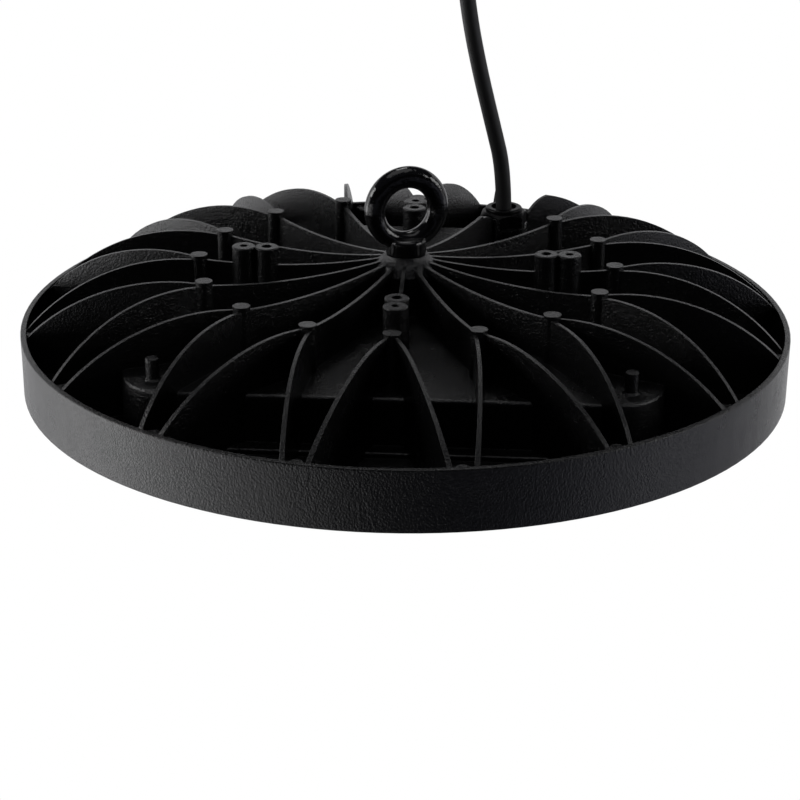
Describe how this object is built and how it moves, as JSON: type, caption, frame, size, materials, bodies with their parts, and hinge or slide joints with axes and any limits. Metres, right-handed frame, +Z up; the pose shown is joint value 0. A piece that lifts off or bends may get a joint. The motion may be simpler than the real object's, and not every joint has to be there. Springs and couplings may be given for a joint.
{
  "type": "high bay light",
  "caption": "Round high bay light: a black finned casting that hangs by its eye bolt, with a gland, a supply cord with its plug, and lamps under a clear cover.",
  "frame": {"origin": "middle of the eye bolt's ring, where the hook takes the weight", "axes": "+Z up along the light's axis, out of the lamps' back; -Y to the front, where one stem of the fins points at the viewer; +X to the viewer's right"},
  "size_m": [0.32, 0.32, 0.2198],
  "materials": {
    "casting": "fine-textured satin black powder coat",
    "eye": "smooth gloss black coat",
    "gland": "moulded black nylon, satin",
    "rubber": "soft black rubber",
    "cord": "smooth satin black jacket",
    "plug": "moulded black nylon, satin",
    "insert": "black insert with plated pins",
    "lens": "clear moulded polycarbonate",
    "ring": "black coated aluminium",
    "screw": "zinc-plated",
    "lamp_board": "white solder mask on aluminium",
    "lamp": "yellow phosphor under clear silicone",
    "cover": "plain mill finish",
    "film": "translucent film",
    "circuit_board": "green solder mask",
    "ferrite": "dull grey ferrite",
    "winding": "yellow tape",
    "choke": "enamelled copper wire",
    "can": "dark shrink sleeve",
    "box_capacitor": "moulded yellow box",
    "chip": "black moulding",
    "terminal": "green moulding",
    "fuse": "clear glass",
    "wire": "coloured insulation"
  },
  "bodies": {
    "root": {"heat_sink": "casting", "eye_bolt": "eye", "gland_washer": "rubber", "gland_body": "gland", "gland_seal": "rubber", "gland_nut": "gland", "power_cord": "cord", "plug_clamp_nut": "plug", "plug_body": "plug", "plug_ring": "plug", "plug_insert": "insert", "lens_plate": "lens", "lens_ring": "ring", "lens_gasket": "rubber", "lens_screws": "screw", "led_board": "lamp_board", "leds": "lamp", "board_screws": "screw", "driver_cover": "cover", "cover_screws": "screw", "insulation_film": "film", "lamp_link": "terminal", "driver_board": "circuit_board", "driver_screws": "screw", "transformer_core": "ferrite", "transformer_winding": "winding", "filter_choke": "choke", "bulk_capacitors": "can", "film_capacitors": "box_capacitor", "power_transistors": "chip", "input_terminal": "terminal", "output_terminal": "terminal", "fuse": "fuse", "supply_wires": "wire", "lamp_wires": "wire"}
  },
  "joints": []
}
